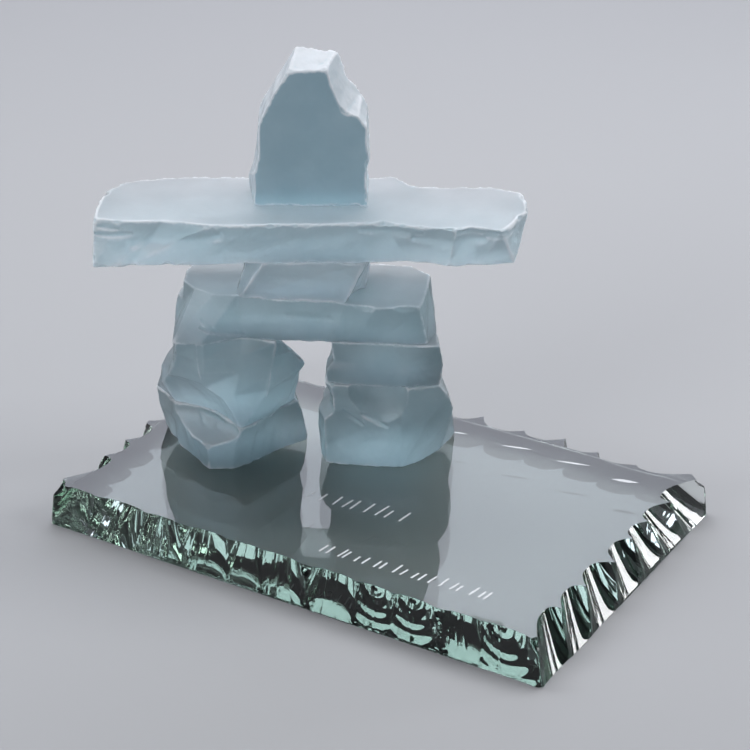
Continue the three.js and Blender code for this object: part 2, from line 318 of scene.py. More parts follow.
@dataclass(frozen=True)
class FrostedGlass:
    """Sandblasted glass: a blue-green body under a matt white frost, with painted highlights on the outer edges,
    painted light on the faces that look up and painted shade in the hollows.
    """

    name: str = "frosted_glass"
    body: tuple[float, float, float] = (0.76, 0.79, 0.82)
    frost: tuple[float, float, float] = (0.95, 0.965, 1.0)
    # Colour of the frost in hollows, darker as painted shade.
    hollow_shade: tuple[float, float, float] = (0.66, 0.78, 0.84)
    through: tuple[float, float, float] = (0.29, 0.65, 0.70)
    density: float = 13.0
    cover: float = 0.03
    # Painted light: share of extra white frost on faces that look up, so that tops read as lit from above.
    painted_top_light: float = 0.36
    roughness: float = 0.60
    ior: float = 1.5
    grain: float = 0.35 * MM
    cloud: float = 14.0 * MM
    highlight_patches: float = 7.0 * MM
    relief: float = 0.05 * MM

    def make(self) -> bpy.types.Material:
        """Build the material.

        A refracting rough surface round an absorbing volume is mixed with matt frost. The share of frost follows
        cloudy noise and rises on broken faces. It also rises on outer edges as a painted highlight and on faces
        that look up as painted light, and it falls in hollows, where the frost turns darker blue, as painted
        shade. The mesh's attributes tell where these lie.
        """
        graph = Graph(self.name)
        shade = tuple(0.9 * part for part in self.body)
        edge = graph.attribute(Stone.EDGE)
        clouds = graph.noise(self.cloud, 3.0)
        grain = graph.noise(self.grain, 2.0)
        pits = graph.noise(self.grain * 4.0, 3.0).between(0.35, 0.6)
        bump = graph.add("ShaderNodeBump", {}, {
            "Strength": 0.3,
            "Distance": self.relief,
            "Height": grain * 0.5 + pits,
        })
        highlight_patches = graph.noise(self.highlight_patches, 2.0).between(0.36, 0.60)
        # Painted highlight: white frost along outer edges, in patches, for bright edge lines.
        edge_highlight = edge.between(0.08, 0.6) * (0.35 + highlight_patches * 0.65)
        broken = graph.attribute(Stone.BROKEN)
        upward = graph.attribute(Stone.UPWARD)
        # Painted shade: hollows get darker frost and less of it.
        hollow = (0.0 - edge).between(0.1, 0.7)
        glass = graph.add("ShaderNodeBsdfPrincipled", {}, {
            "Base Color": graph.blend(clouds.between(0.3, 0.75), rgba(shade), rgba(self.body)),
            "Roughness": self.roughness + (grain - 0.5) * 0.16,
            "IOR": self.ior,
            "Transmission Weight": 1.0,
            "Normal": bump,
        })
        matt = graph.add("ShaderNodeBsdfPrincipled", {}, {
            "Base Color": graph.blend(hollow, rgba(self.frost), rgba(self.hollow_shade)),
            "Roughness": 0.8 + (grain - 0.5) * 0.2,
            "Transmission Weight": 0.35,
            "Specular IOR Level": 0.3,
            "Normal": bump,
        })
        share = self.cover + (clouds - 0.5) * 0.25 + edge_highlight * 0.95 + broken
        # Faces that look up get more white frost as painted light; hollows get less as painted shade.
        share = share + upward * self.painted_top_light - hollow * 0.15
        surface = graph.add("ShaderNodeMixShader", {}, {0: share, 1: glass, 2: matt})
        volume = graph.add("ShaderNodeVolumeAbsorption", {}, {
            "Color": rgba(self.through),
            "Density": self.density,
        })
        return graph.finish(surface, volume)


@dataclass(frozen=True)
class ClearGlass:
    """Polished float glass, green through its length, with faint wiping marks stretched along the plate."""

    tint: tuple[float, float, float] = (0.97, 0.99, 0.985)
    ior: float = 1.52
    through: tuple[float, float, float] = (0.50, 0.61, 0.55)
    density: float = 20.0
    smear: float = 40.0 * MM
    stretch: tuple[float, float, float] = (1.0, 2.2, 1.0)
    smeared: float = 0.01

    def make(self) -> bpy.types.Material:
        """Build the material: a smooth refracting surface around an absorbing volume."""
        graph = Graph("clear_glass")
        smear = graph.noise(self.smear, 4.0, self.stretch)
        surface = graph.add("ShaderNodeBsdfPrincipled", {}, {
            "Base Color": rgba(self.tint),
            "Roughness": smear.between(0.45, 0.8) * self.smeared,
            "IOR": self.ior,
            "Transmission Weight": 1.0,
        })
        volume = graph.add("ShaderNodeVolumeAbsorption", {}, {
            "Color": rgba(self.through),
            "Density": self.density,
        })
        return graph.finish(surface, volume)


@dataclass(frozen=True)
class Engraving:
    """Matt white floor of an engraved groove, also laid on the nicks as a painted highlight."""

    tone: tuple[float, float, float] = (0.82, 0.84, 0.87)
    grain: float = 0.3 * MM

    def make(self) -> bpy.types.Material:
        """Build the material, speckled by its fine grain."""
        graph = Graph("engraving")
        grain = graph.noise(self.grain, 2.0)
        dark = tuple(0.8 * part for part in self.tone)
        surface = graph.add("ShaderNodeBsdfPrincipled", {}, {
            "Base Color": graph.blend(grain.between(0.3, 0.7), rgba(dark), rgba(self.tone)),
            "Roughness": 0.7 + 0.2 * grain,
        })
        return graph.finish(surface)


@dataclass(frozen=True)
class Floor:
    """The studio's plain pale floor."""

    radius: float = 4.0
    drop: float = 0.15 * MM
    tone: tuple[float, float, float] = (0.44, 0.445, 0.46)
    mottle: float = 0.3

    def build(self) -> None:
        """Lay a square sheet just below the part."""
        corners = [(-1, -1), (1, -1), (1, 1), (-1, 1)]
        mesh = bpy.data.meshes.new("floor")
        points = [(x * self.radius, y * self.radius, -self.drop) for x, y in corners]
        mesh.from_pydata(points, [], [(0, 1, 2, 3)])
        floor = bpy.data.objects.new("floor", mesh)
        bpy.context.scene.collection.objects.link(floor)
        graph = Graph("floor")
        soft = tuple(0.97 * part for part in self.tone)
        surface = graph.add("ShaderNodeBsdfPrincipled", {}, {
            "Base Color": graph.blend(graph.noise(self.mottle, 2.0), rgba(soft), rgba(self.tone)),
            "Roughness": 0.85,
            "Specular IOR Level": 0.2,
        })
        mesh.materials.append(graph.finish(surface))


def stand(thing: bpy.types.Object, azimuth: float, elevation: float, distance: float, target: Vector) -> None:
    """Stand a light or a camera round a target, let it look there and link it to the scene.

    Args:
        thing: the light or camera, which looks along its own -Z.
        azimuth: degrees from the front, on -Y, towards the right, on +X.
        elevation: degrees above the horizon.
        distance: how far it stands from the target.
        target: the point it looks at.
    """
    turn = math.radians(azimuth)
    rise = math.radians(elevation)
    back = Vector((math.sin(turn) * math.cos(rise), -math.cos(turn) * math.cos(rise), math.sin(rise)))
    thing.location = target + back * distance
    thing.rotation_mode = "QUATERNION"
    thing.rotation_quaternion = back.to_track_quat("Z", "Y")
    bpy.context.scene.collection.objects.link(thing)


@dataclass(frozen=True)
class Softbox:
    """A soft light of even brightness that faces the figure, with its angles in degrees."""

    name: str
    azimuth: float
    elevation: float
    distance: float
    width: float
    height: float
    radiance: float
    colour: tuple[float, float, float] = (1.0, 1.0, 1.0)

    def build(self, target: Vector) -> None:
        """Hang the light, out of the camera's sight, and aim it at a point.

        An area light of radiance L gives L times pi watts for each square metre.
        """
        lamp = bpy.data.lights.new(self.name, "AREA")
        lamp.shape = "RECTANGLE"
        lamp.size = self.width
        lamp.size_y = self.height
        lamp.energy = self.radiance * math.pi * self.width * self.height
        lamp.color = self.colour
        light = bpy.data.objects.new(self.name, lamp)
        light.visible_camera = False
        stand(light, self.azimuth, self.elevation, self.distance, target)


@dataclass(frozen=True)
class Viewpoint:
    """The photograph's camera, fitted to the plate's corners and the figure's upright edges."""

    azimuth: float = 31.27
    elevation: float = 27.2
    distance: float = 1.1185
    aim: tuple[float, float, float] = (-0.0720, 0.1145, 0.0)
    lens: float = 110.4
    sensor: float = 36.0

    def build(self) -> None:
        """Set the camera up and make it the scene's own."""
        camera = bpy.data.objects.new("camera", bpy.data.cameras.new("camera"))
        camera.data.lens = self.lens
        camera.data.sensor_width = self.sensor
        camera.data.sensor_fit = "HORIZONTAL"
        camera.data.clip_end = 20.0
        stand(camera, self.azimuth, self.elevation, self.distance, Vector(self.aim))
        bpy.context.scene.camera = camera


@dataclass(frozen=True)
class Studio:
    """Floor, camera and lights: a panel behind the figure, a soft ceiling, two at the side and a fill."""

    floor: Floor = Floor()
    view: Viewpoint = Viewpoint()
    surroundings: tuple[float, float, float] = (0.09, 0.093, 0.105)
    target: tuple[float, float, float] = (0.0, 0.0, 0.08)
    lights: tuple[Softbox, ...] = (
        Softbox("backdrop_light", 211.0, 29.0, 1.5, 1.1, 0.6, 2.45, (0.84, 0.87, 1.0)),
        Softbox("ceiling_light", 213.0, 66.0, 1.2, 2.2, 0.5, 5.2, (0.97, 0.98, 1.0)),
        Softbox("side_light", 118.0, 38.0, 1.4, 0.5, 0.4, 7.0, (0.97, 0.98, 1.0)),
        Softbox("edge_light", 136.5, 6.0, 1.4, 0.22, 0.44, 13.0, (0.97, 0.98, 1.0)),
        Softbox("fill_light", -18.0, 18.0, 1.6, 0.8, 0.5, 7.5, (0.96, 0.98, 1.0)),
    )

    def build(self) -> None:
        """Set up the stage round the part."""
        self.floor.build()
        self.view.build()
        for softbox in self.lights:
            softbox.build(Vector(self.target))
        world = bpy.data.worlds.new("studio")
        world.use_nodes = True
        world.node_tree.nodes["Background"].inputs["Color"].default_value = rgba(self.surroundings)
        scene = bpy.context.scene
        scene.world = world
        scene.view_settings.view_transform = "Standard"
        scene.cycles.max_bounces = 24
        scene.cycles.transmission_bounces = 24
        scene.cycles.diffuse_bounces = 4
        scene.cycles.glossy_bounces = 12


def new_piece(name: str, mesh: bpy.types.Mesh, material: bpy.types.Material) -> bpy.types.Object:
    """Make a piece of the part from a mesh that is already in place.

    Args:
        name: the piece's name.
        mesh: its mesh, in the part's frame.
        material: its finish.

    Returns:
        The object, riding on the part's one body.
    """
    piece = bpy.data.objects.new(name, mesh)
    bpy.context.scene.collection.objects.link(piece)
    mesh.materials.clear()
    mesh.materials.append(material)
    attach(piece, BODY)
    return piece


@dataclass
class Stone:
    """One stone of the figure: a piece of broken sheet glass with its fractures, scars and chips.

    Wave and fuzz are the broken faces' unevenness, as length and depth, and nibble is that of the edges, which
    stay whole within the spared heights above the stone's foot. An edge of the sharp heights counts as sharp
    before and after the chips.
    """

    node: str
    sheet: SheetAxis = SheetAxis.UP
    strikes: tuple[Strike, ...] = ()
    scars: tuple[Scar, ...] = ()
    finish: FrostedGlass = FrostedGlass()
    chips: tuple[Chips, ...] = (Chips(10, 6.0 * MM, 0.30 * MM), Chips(60, 2.4 * MM, 0.24 * MM))
    seed: int = 1
    voxel: float = 0.6 * MM
    wave: tuple[float, float] = (9.0 * MM, 0.10 * MM)
    fuzz: tuple[float, float] = (2.4 * MM, 0.025 * MM)
    nibble: tuple[float, float] = (2.6 * MM, 0.5 * MM)
    spared: tuple[float, float] = (1.0 * MM, 3.0 * MM)
    sharp: tuple[float, float] = (0.16 * MM, 0.10 * MM)
    # Scale of the edge attribute, from which the finish paints highlights on outer edges and shade in hollows.
    edge_highlight: float = 0.7
    crushed: float = 0.06
    turn: float = math.radians(28.5)

    EDGE = "edge"
    BROKEN = "broken"
    UPWARD = "upward"

    def fine_mesh(self) -> bpy.types.Mesh:
        """Copy the node's solid, merge its corners and cover it with small even faces."""
        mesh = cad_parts[self.node].data.copy()
        merged = bmesh.new()
        merged.from_mesh(mesh)
        bmesh.ops.remove_doubles(merged, verts=merged.verts, dist=1e-6)
        merged.to_mesh(mesh)
        merged.free()
        helper = bpy.data.objects.new("helper", mesh)
        bpy.context.scene.collection.objects.link(helper)
        remesh = helper.modifiers.new("fine", "REMESH")
        remesh.mode = "VOXEL"
        remesh.voxel_size = self.voxel
        depsgraph = bpy.context.evaluated_depsgraph_get()
        fine = bpy.data.meshes.new_from_object(helper.evaluated_get(depsgraph))
        bpy.data.objects.remove(helper)
        fine.name = self.node
        return fine

    def normals(self, mesh: bpy.types.Mesh) -> Array:
        """Read the unit normals of a mesh's points."""
        values = np.empty(len(mesh.vertices) * 3)
        mesh.vertex_normals.foreach_get("vector", values)
        return values.reshape(-1, 3)

    def to_figure(self, points: Array) -> Array:
        """Turn rows of the part's frame into the figure's own axes: across, from front to back, and up."""
        return points @ np.array(Matrix.Rotation(self.turn, 3, "Z"))

    def ripples(self, places: Array, size: Array, low: Array) -> Array:
        """Depth of the ripples at each place.

        From each strike, the depth follows the cosine of the distance over the spacing, a little unevenly, as
        far above the surface as below it.

        Args:
            places: points in the figure's axes.
            size: the stone's size along those axes.
            low: the stone's lowest corner along them.

        Returns:
            A depth for each point, less than 0 above the surface.
        """
        depth = np.zeros(len(places))
        for number, strike in enumerate(self.strikes):
            away = np.linalg.norm(places - (low + np.array(strike.place) * size), axis=1)
            uneven = Swell(strike.spacing * 4.0, self.seed * 10 + number).at(places)
            phase = 2.0 * math.pi * away / strike.spacing + 0.9 * uneven
            depth += strike.depth * 0.5 * np.cos(phase)
        return depth

    def grooves(self, places: Array, size: Array, low: Array) -> Array:
        """Depth of the scars on the front: a steep lower side and a long upper one, fading out at the ends.

        Across and up the front, a place has a distance from the scar's line, which is stretched to twice as
        much above it. The depth is the bell curve of that distance over the scar's width.

        Args:
            places: points in the figure's axes.
            size: the stone's size along those axes.
            low: the stone's lowest corner along them.

        Returns:
            A depth for each point.
        """
        depth = np.zeros(len(places))
        front = (places - low)[:, [0, 2]]
        for scar in self.scars:
            start = np.array(scar.start) * size[[0, 2]]
            run = np.array(scar.end) * size[[0, 2]] - start
            share = np.clip((front - start) @ run / (run @ run), 0.0, 1.0)
            offset = front - start - share[:, None] * run
            offset[:, 1] *= np.where(offset[:, 1] > 0.0, 0.5, 1.0)
            away = np.linalg.norm(offset, axis=1)
            width = scar.width * (0.35 + 0.65 * np.sin(math.pi * share))
            depth += scar.depth * np.exp(-((away / width) ** 2))
        return depth

    def knock_chips(self, skin: Skin, normals: Array, edge: Array) -> None:
        """Knock shells off the edges.

        A shell is a ball whose surface cuts in by the chip's depth below a point on an edge. Each point inside
        the ball goes back, against the edge point's normal, to the ball's far side.

        Args:
            skin: the stone's points, which are moved.
            normals: unit normals of the points.
            edge: the edge mask.
        """
        rng = np.random.default_rng(self.seed)
        candidates = np.flatnonzero(edge > 0.45)
        if not len(candidates):
            return
        sizes = [(chips.radius, chips.depth) for chips in self.chips for _ in range(chips.count)]
        for index, (radius, depth) in zip(rng.choice(candidates, len(sizes)), sizes, strict=True):
            share = rng.uniform(0.4, 1.5)
            radius, depth = radius * share, depth * share
            inward = normals[index] * (radius - depth)
            offset = skin.points - (skin.points[index] + inward)
            along = offset @ normals[index]
            across = radius**2 - (offset**2).sum(axis=1) + along**2
            inside = (across > 0.0) & (np.abs(along) < np.sqrt(np.maximum(across, 0.0)))
            target = -np.sqrt(across[inside])
            skin.points[inside] += (target - along[inside])[:, None] * normals[index]

    def build(self, glass: bpy.types.Material) -> bpy.types.Object:
        """Make the finished stone in place of its node's solid.

        Every point moves inward by the depth of the marks there, and chips are knocked off after that. Edges,
        broken faces and faces that look up are then noted for the finish, which paints highlights on the edges,
        shade in the hollows and light on the faces that look up.

        Args:
            glass: the frosted finish.

        Returns:
            The stone's object.
        """
        mesh = self.fine_mesh()
        skin = Skin.of(mesh)
        normals = self.normals(mesh)
        places = self.to_figure(skin.points)
        low = places.min(axis=0)
        size = places.max(axis=0) - low
        facing = np.abs(self.to_figure(normals)[:, self.sheet.value])
        broken = 1.0 - smoothstep(0.80, 0.97, facing)
        edge = skin.edge_mask(normals, self.sharp[0], 2)
        length, height = self.wave
        depth = broken * (self.ripples(places, size, low) + height * Swell(length, self.seed).at(places))
        length, height = self.fuzz
        depth += broken * height * Swell(length, self.seed + 50).at(places)
        depth += smoothstep(0.2, 0.6, -self.to_figure(normals)[:, 1]) * self.grooves(places, size, low)
        length, height = self.nibble
        bites = smoothstep(0.7, 1.8, Swell(length, self.seed + 70).at(places))
        bites *= smoothstep(*self.spared, places[:, 2] - low[2])
        depth += height * smoothstep(0.2, 0.8, edge) * bites
        skin.points -= depth[:, None] * normals
        self.knock_chips(skin, normals, edge)
        mesh.vertices.foreach_set("co", skin.points.ravel())
        mesh.update()
        normals = self.normals(mesh)
        marks = {
            # Above 0 on outer edges and below 0 in hollows: the finish paints highlights and shade from it.
            self.EDGE: self.edge_highlight * skin.edge_mask(normals, self.sharp[1], 2),
            self.BROKEN: self.crushed * broken,
            # Faces that look up, which the finish paints as lit from above.
            self.UPWARD: smoothstep(0.1, 0.9, normals[:, 2]),
        }
        for name, values in marks.items():
            mesh.attributes.new(name, "FLOAT", "POINT").data.foreach_set("value", values)
        mesh.shade_smooth()
        piece = new_piece(f"{self.node}_glass", mesh, glass)
        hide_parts(self.node)
        return piece


@dataclass
class Figure:
    """The stone man: eight stones of one glass, from the feet to the head. Torso and arms have its palest
    finish;
    the other stones have darker copies of it as painted shade.
    """

    # Darker copies of the one frosted glass, as painted shade: the first for the feet and the left leg, the
    # second for the right leg and the hips, the third for the head.
    deep: FrostedGlass = FrostedGlass("shaded_frosted_glass", body=(0.57, 0.64, 0.68))
    deeper_shade: FrostedGlass = FrostedGlass("deeper_shade_frosted_glass", body=(0.47, 0.54, 0.57))
    dark: FrostedGlass = FrostedGlass("head_shaded_frosted_glass", body=(0.43, 0.56, 0.62))

    def stones(self) -> list[Stone]:
        """List the stones with the marks that each one carries."""
        return [
            Stone(
                "left_foot_stone",
                finish=self.deep,
                strikes=(Strike((0.2, -0.8, 1.6), 13 * MM, 0.4 * MM),),
                scars=(
                    Scar((0.29, 0.92), (0.49, 0.86), 1.0 * MM, 0.8 * MM),
                    Scar((0.31, 0.84), (0.40, 0.55), 0.9 * MM, 0.7 * MM),
                    Scar((0.24, 0.62), (0.34, 0.20), 0.9 * MM, 0.5 * MM),
                ),
                seed=11,
            ),
            Stone(
                "left_leg_stone",
                finish=self.deep,
                strikes=(
                    Strike((0.9, -0.9, 1.8), 17 * MM, 0.5 * MM),
                    Strike((-0.2, 0.1, 0.0), 8 * MM, 0.2 * MM),
                ),
                scars=(
                    Scar((0.83, 0.92), (0.80, 0.62), 0.7 * MM, -0.45 * MM),
                    Scar((0.80, 0.60), (0.77, 0.30), 0.8 * MM, -0.55 * MM),
                    Scar((0.34, 0.97), (0.35, 0.50), 0.7 * MM, -0.4 * MM),
                ),
                seed=12,
            ),
            Stone(
                "right_foot_stone",
                finish=self.deep,
                strikes=(Strike((0.1, -0.9, 1.3), 15 * MM, 0.4 * MM),),
                scars=(
                    Scar((0.19, 0.68), (0.34, 0.50), 1.0 * MM, 0.9 * MM),
                    Scar((0.33, 0.64), (0.52, 0.50), 1.0 * MM, 0.9 * MM),
                ),
                seed=13,
            ),
            Stone(
                "right_leg_stone",
                finish=self.deeper_shade,
                strikes=(Strike((0.3, -1.2, 2.2), 14 * MM, 0.3 * MM),),
                seed=14,
            ),
            Stone(
                "hip_stone",
                finish=self.deeper_shade,
                strikes=(Strike((0.3, -1.4, 3.0), 18 * MM, 0.35 * MM),),
                scars=(
                    Scar((0.12, 0.34), (0.28, 0.08), 0.8 * MM, 0.7 * MM),
                    Scar((0.12, 0.50), (0.18, 0.25), 0.7 * MM, 0.5 * MM),
                    Scar((0.44, 0.62), (0.62, 0.55), 1.2 * MM, 0.5 * MM),
                ),
                seed=15,
            ),
            Stone("torso_stone", strikes=(Strike((0.1, -1.0, 2.5), 16 * MM, 0.3 * MM),), seed=16, edge_highlight=1.5),
            Stone(
                "arms_stone",
                strikes=(
                    Strike((0.35, 0.1, 5.5), 11 * MM, 0.45 * MM),
                    Strike((0.9, -2.0, -3.0), 27 * MM, 0.5 * MM),
                ),
                scars=(
                    Scar((0.01, 0.70), (0.10, 0.72), 0.8 * MM, 0.9 * MM),
                    Scar((0.02, 0.86), (0.07, 0.84), 0.7 * MM, 0.6 * MM),
                    Scar((0.10, 0.50), (0.30, 0.72), 3.2 * MM, 1.3 * MM),
                    Scar((0.62, 0.84), (0.76, 0.80), 1.6 * MM, 0.7 * MM),
                    Scar((0.74, 0.66), (0.90, 0.70), 3.0 * MM, 1.2 * MM),
                    Scar((0.84, 0.88), (0.95, 0.90), 0.9 * MM, 0.9 * MM),
                    Scar((0.90, 0.80), (0.97, 0.84), 0.8 * MM, 0.7 * MM),
                ),
                chips=(Chips(34, 7.0 * MM, 0.6 * MM), Chips(180, 2.8 * MM, 0.4 * MM)),
                seed=17,
                edge_highlight=1.3,
                crushed=0.10,
            ),
            Stone(
                "head_stone",
                sheet=SheetAxis.FRONT,
                finish=self.dark,
                strikes=(Strike((1.3, 0.5, 1.1), 9 * MM, 0.3 * MM),),
                chips=(Chips(40, 5.0 * MM, 0.40 * MM), Chips(110, 2.4 * MM, 0.25 * MM)),
                seed=18,
                edge_highlight=1.5,
                crushed=0.5,
            ),
        ]

    def build(self) -> None:
        """Build and dress the stones from the bottom to the top."""
        glasses: dict[FrostedGlass, bpy.types.Material] = {}
        for stone in self.stones():
            if stone.finish not in glasses:
                glasses[stone.finish] = stone.finish.make()
            piece = stone.build(glasses[stone.finish])
            log.info("%s: %d faces", piece.name, len(piece.data.polygons))


@dataclass(frozen=True)
class FlakeRow:
    """Flakes struck off the plate's rim, as arrays with one entry for each flake."""

    middle: Array
    half: Array
    reach: Array
    dip: Array
    tip: Array
    seed: Array


@dataclass(frozen=True)
class StrokeRow:
    """A row of short slanting strokes engraved in the plate's top, on a line that runs beside its front."""

    start: tuple[float, float]
    end: tuple[float, float]
    height: float
    count: int
    seed: int
    wide: float = 0.9 * MM
    deep: float = 0.15 * MM
    proud: float = 0.01 * MM
    leaning: tuple[float, float] = (0.14, 0.26)
    shortest: float = 0.55

    def boxes(self, top: float) -> tuple[Array, Array]:
        """Give the strokes as thin boxes that just break the surface.

        Each stroke stands on the row's line, leans by a seeded amount and is between the shortest share and 1
        times the row's height. Its foot and head are as wide as the tool.

        Args:
            top: height of the plate's top face.

        Returns:
            Corner points, eight to a stroke, and faces as rows of four point numbers.
        """
        rng = np.random.default_rng(self.seed)
        start, end = np.array(self.start), np.array(self.end)
        along = (end - start) / np.linalg.norm(end - start)
        upright = np.array([-along[1], along[0]])
        steps = (np.arange(self.count) + rng.uniform(0.2, 0.8, self.count)) / self.count
        places = start + steps[:, None] * (end - start)
        tall = self.height * rng.uniform(self.shortest, 1.0, self.count)[:, None]
        lean = rng.uniform(*self.leaning, self.count)[:, None]
        heads = places + tall * (upright + lean * along)
        half = along * self.wide / 2.0
        outline = np.stack([places - half, places + half, heads + half, heads - half], axis=1)
        levels = [top - self.deep, top + self.proud]
        layers = [np.concatenate([outline, np.full((self.count, 4, 1), level)], axis=2) for level in levels]
        points = np.concatenate(layers, axis=1).reshape(-1, 3)
        box = np.array([[3, 2, 1, 0], [4, 5, 6, 7], [0, 1, 5, 4], [1, 2, 6, 5], [2, 3, 7, 6], [3, 0, 4, 7]])
        faces = (np.arange(self.count)[:, None, None] * 8 + box).reshape(-1, 4)
        return points, faces


@dataclass
class Nick:
    """A lens-shaped nick that a blow left in the plate's top, beside the back edge.
    Its matt white is a painted highlight.
    """

    middle: tuple[float, float]
    length: float
    wide: float = 1.3 * MM
    turn: float = math.radians(14.0)
    deep: float = 0.15 * MM
    proud: float = 0.01 * MM
    steps: int = 12

    def lens(self, top: float) -> tuple[Array, Array]:
        """Give the nick as a thin lens that just breaks the surface.

        Its outline runs there and back along the length; the half width is the nick's own times 1 less the
        squared share of the half length, so that both ends are pointed.

        Args:
            top: height of the plate's top face.

        Returns:
            Corner points, four to a step, and faces as rows of four point numbers.
        """
        share = np.linspace(-0.98, 0.98, self.steps)
        half = self.wide / 2.0 * (1.0 - share**2)
        along = share * self.length / 2.0
        sides = []
        for across, level in ((-half, -self.deep), (half, -self.deep), (half, self.proud), (-half, self.proud)):
            x = self.middle[0] + along * math.cos(self.turn) - across * math.sin(self.turn)
            y = self.middle[1] + along * math.sin(self.turn) + across * math.cos(self.turn)
            sides.append(np.stack([x, y, np.full(self.steps, top + level)], axis=1))
        points = np.stack(sides, axis=1).reshape(-1, 3)
        tube = np.array([[side, (side + 1) % 4, (side + 1) % 4 + 4, side + 4] for side in range(4)])
        faces = (np.arange(self.steps - 1)[:, None, None] * 4 + tube).reshape(-1, 4)
        last = 4 * (self.steps - 1)
        caps = np.array([[3, 2, 1, 0], [last, last + 1, last + 2, last + 3]])
        return points, np.concatenate([faces, caps])


@dataclass
class Plate:
    """The clear plate: two polished faces and a rim that is knapped into a row of shells.

    Bites and tips in degrees go with the front, right, back and left side. Half length, spread, stray, level and
    dip of the flakes are shares: of their pitch, of their own size, of the pitch, and of the thickness. The back
    flake has its place as a share of the width from the middle, its half length, bite and dip.
    """

    node: str = "base_plate"
    lean: float = 1.5 * MM
    land: float = 2.5 * MM
    bites: tuple[float, ...] = (2.2 * MM, 6.8 * MM, 6.8 * MM, 6.8 * MM)
    tips: tuple[float, ...] = (-13.0, -30.0, -30.0, -30.0)
    flake: float = 22.0 * MM
    clear: float = 5.0 * MM
    blunt: float = 1.7 * MM
    overlap: float = 0.62
    spread: float = 0.2
    stray: float = 0.16
    level: float = 0.86
    dip: float = 3.0
    corner: float = 2.0 * MM
    corner_shell: tuple[float, float] = (8.0 * MM, 5.5 * MM)
    back_flake: tuple[float, float, float, float] = (0.37, 30.0 * MM, 15.0 * MM, 0.75)
    back_seed: float = 99.0
    slant: float = 4.0 * MM
    blow: float = 25.0 * MM
    ridges: float = 62.0
    line_depth: float = 0.2 * MM
    ring_pitch: float = 5.0 * MM
    ring_depth: float = 0.09 * MM
    crushed: tuple[tuple[float, float], ...] = ((3.2 * MM, 0.16 * MM), (1.5 * MM, 0.05 * MM))
    step: float = 0.5 * MM
    levels: int = 40
    glass: ClearGlass = ClearGlass()
    engraving: Engraving = Engraving()
    nicks: tuple[Nick, ...] = (
        Nick((9.0 * MM, 54.2 * MM), 7.0 * MM),
        Nick((36.8 * MM, 55.6 * MM), 14.0 * MM),
        Nick((64.4 * MM, 55.8 * MM), 15.5 * MM),
        Nick((90.7 * MM, 53.5 * MM), 12.0 * MM, 2.2 * MM),
    )
    strokes: tuple[StrokeRow, ...] = (
        StrokeRow((-20.1 * MM, -29.8 * MM), (26.7 * MM, -25.5 * MM), 9.5 * MM, 9, 3),
        StrokeRow((5.9 * MM, -63.2 * MM), (86.7 * MM, -59.7 * MM), 7.0 * MM, 19, 4),
    )

    def __post_init__(self) -> None:
        """Take the plate's size from its solid."""
        low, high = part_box(self.node)
        self.width = high.x - low.x
        self.depth = high.y - low.y
        self.thickness = high.z - low.z
        self.girth = 2.0 * (self.width + self.depth)

    @staticmethod
    def scatter(number: Array) -> Array:
        """Spread numbers evenly between -1 and 1: twice the fraction of a large multiple of a sine, less 1."""
        large = np.sin(number * 12.9898) * 43758.5453
        return 2.0 * (large - np.floor(large)) - 1.0

    def flakes(self) -> FlakeRow:
        """Spread the flakes round the rim, counted anticlockwise from the front left corner."""
        rows = []
        start = 0.0
        for side, length in enumerate((self.width, self.depth, self.width, self.depth)):
            count = round(length / self.flake)
            pitch = (length - 2.0 * self.clear) / count
            number = np.arange(count)
            seed = side * 20 + number
            share = 1.0 + self.spread * self.scatter(seed)
            middle = start + self.clear + (number + 0.5 + self.stray * self.scatter(seed + 7)) * pitch
            half = pitch * self.overlap * share
            dip = np.full(count, self.dip)
            tip = np.full(count, math.radians(self.tips[side]))
            rows.append(np.stack([middle, half, self.bites[side] * share, dip, tip, seed]))
            start += length
        share, half, bite, dip = self.back_flake
        middle = self.width + self.depth + self.width * (0.5 + share)
        rows.append(np.array([[middle], [half], [bite], [dip], [math.radians(self.tips[2])], [self.back_seed]]))
        return FlakeRow(*np.concatenate(rows, axis=1))

    def shell(self, height: Array, reach: float, dip: float, tip: float) -> Array:
        """How far in from the plate's foot a flake's shell reaches in its middle.

        The shell is the inner side of an ellipse in the upright plane, tipped so that it cuts deeper at the top.
        Its depth is the larger root of the quadratic that the ellipse gives at a height.

        Args:
            height: heights above the underside.
            reach: how much deeper than the leaning side it bites.
            dip: its half height as a share of the thickness.
            tip: the angle by which it is tipped, below 0 where it cuts deeper at the top.

        Returns:
            Distances inward from the foot, and 0 where the shell doesn't reach.
        """
        deep = self.thickness * 0.5
        tall = self.thickness * dip
        rise = height - self.thickness * self.level
        sine, cosine = math.sin(tip), math.cos(tip)
        square = (cosine / deep) ** 2 + (sine / tall) ** 2
        linear = 2.0 * rise * sine * cosine * (deep**-2 - tall**-2)
        rest = rise**2 * ((sine / deep) ** 2 + (cosine / tall) ** 2) - 1.0
        inside = linear**2 - 4.0 * square * rest
        root = (np.sqrt(np.maximum(inside, 0.0)) - linear) / (2.0 * square)
        return np.where(inside > 0.0, self.lean + reach - deep + root, 0.0)

    def off_corner(self, away: Array, height: Array) -> Array:
        """How far in from the foot a corner's own shell reaches.

        The shell is a flattened ball round the corner of the top face, whose radius R at a height is the ball's
        reach times the root of 1 less the squared share of its half height. A point s along the side from the
        corner moves inward along both sides until it meets R: by half of sqrt(2 R^2 - s^2) - s.

        Args:
            away: distances from the corner along the side.
            height: heights above the underside.

        Returns:
            Distances inward from the foot, and 0 where the shell doesn't reach.
        """
        across, up = self.corner_shell
        square = across**2 * np.maximum(1.0 - ((self.thickness - height) / up) ** 2, 0.0)
        return np.maximum((np.sqrt(np.maximum(2.0 * square - away**2, 0.0)) - away) / 2.0, 0.0)

